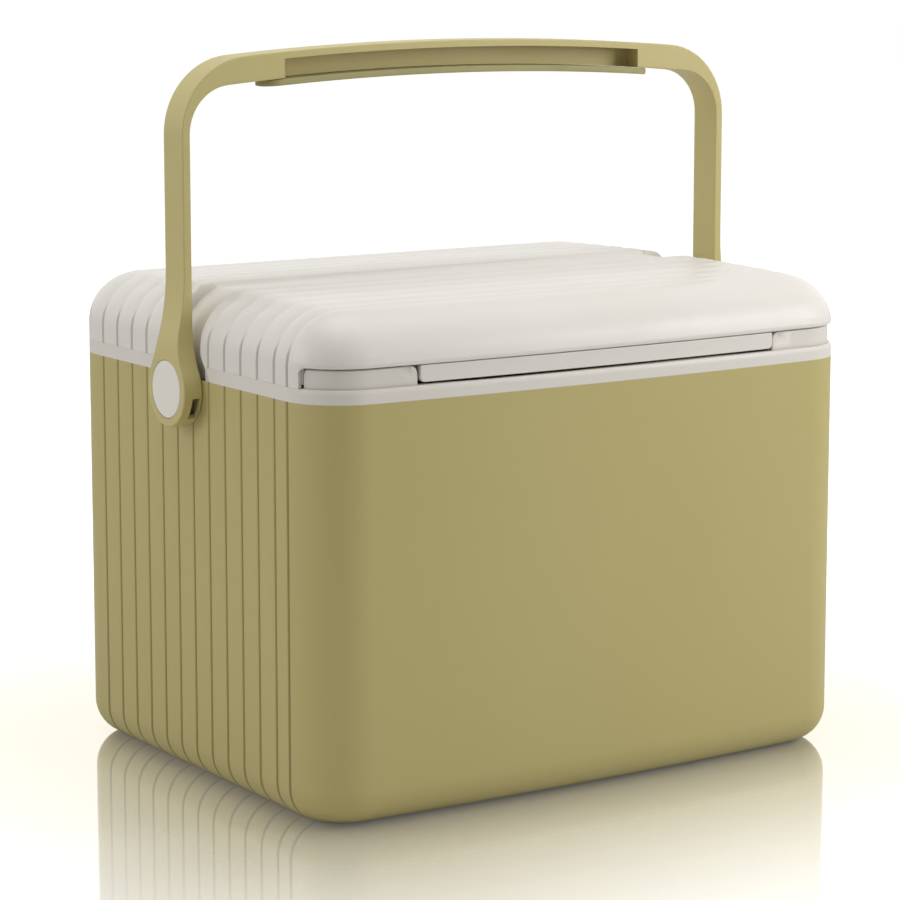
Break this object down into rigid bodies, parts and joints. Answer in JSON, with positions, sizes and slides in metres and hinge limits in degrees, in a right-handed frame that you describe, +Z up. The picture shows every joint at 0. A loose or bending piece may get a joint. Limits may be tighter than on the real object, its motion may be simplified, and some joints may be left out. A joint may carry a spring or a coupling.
{
  "type": "portable cool box",
  "caption": "Hard insulated cool box: ribbed rectangular body, crowned hinged lid with a pull bar, and a swinging bail handle on side pivots.",
  "frame": {"origin": "in the base plane, midway between the two sides and straight below the handle's pivots", "axes": "+X towards the right-hand side seen from the front, +Y towards the back where the lid is hinged, +Z up"},
  "size_m": [0.3628, 0.2797, 0.3847],
  "materials": {
    "olive_shell_plastic": "satin",
    "olive_handle_plastic": "satin",
    "olive_grip_rubber": "matte",
    "offwhite_lid_plastic": "satin",
    "offwhite_collar_plastic": "satin",
    "offwhite_panel_plastic": "satin",
    "white_liner_plastic": "gloss",
    "insulation_foam": "matte",
    "grey_gasket_rubber": "matte",
    "grey_cap_plastic": "satin",
    "black_nylon": "matte",
    "pin_steel": "satin",
    "washer_steel": "satin",
    "screw_steel": "satin"
  },
  "bodies": {
    "root": {"outer_shell": "olive_shell_plastic", "inner_liner": "white_liner_plastic", "body_insulation": "insulation_foam", "rim_collar": "offwhite_collar_plastic", "hinge_pin_left": "pin_steel", "pivot_hub_left": "black_nylon", "pivot_plate_left": "black_nylon", "pivot_washer_left": "washer_steel", "pivot_screw_left": "screw_steel", "hinge_pin_right": "pin_steel", "pivot_hub_right": "black_nylon", "pivot_plate_right": "black_nylon", "pivot_washer_right": "washer_steel", "pivot_screw_right": "screw_steel"},
    "lid": {"lid_cover": "offwhite_lid_plastic", "lid_insulation": "insulation_foam", "lid_inner_panel": "offwhite_panel_plastic", "lid_gasket": "grey_gasket_rubber"},
    "handle": {"handle_bail": "olive_handle_plastic", "handle_grip_pad": "olive_grip_rubber", "pivot_cap_left": "grey_cap_plastic", "pivot_cap_right": "grey_cap_plastic"}
  },
  "joints": [
    {"name": "lid_hinge", "type": "hinge", "parent": "root", "child": "lid", "pos_m": [0, 0.1372, 0.226], "axis": [-1, 0, 0], "range_deg": [0, 33]},
    {"name": "handle_swing", "type": "hinge", "parent": "root", "child": "handle", "pos_m": [0, 0, 0.2086], "axis": [1, 0, 0], "range_deg": [-117, 114]}
  ]
}
